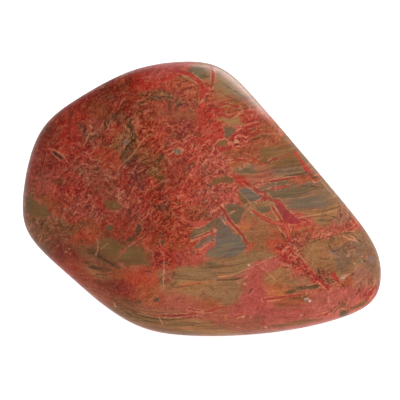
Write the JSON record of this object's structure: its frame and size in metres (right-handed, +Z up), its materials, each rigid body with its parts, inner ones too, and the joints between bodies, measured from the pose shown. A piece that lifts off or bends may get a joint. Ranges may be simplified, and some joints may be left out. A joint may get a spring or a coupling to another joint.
{
  "type": "red creek jasper stone",
  "caption": "Hand-polished freeform boulder of red creek jasper with rounded flats and a ground foot; stands by itself as an ornament.",
  "frame": {"origin": "middle of the stone's footprint box, on the surface that the ground foot rests on", "axes": "+Z up, -Y towards the viewer of the picture, +X along the stone's length to its narrow end"},
  "size_m": [0.15, 0.1046, 0.1143],
  "materials": {
    "jasper": "satin hand polish over brick-red brecciated jasper with olive, ochre and slate-grey bedding and crimson veins"
  },
  "bodies": {
    "root": {"stone": "jasper"}
  },
  "joints": []
}
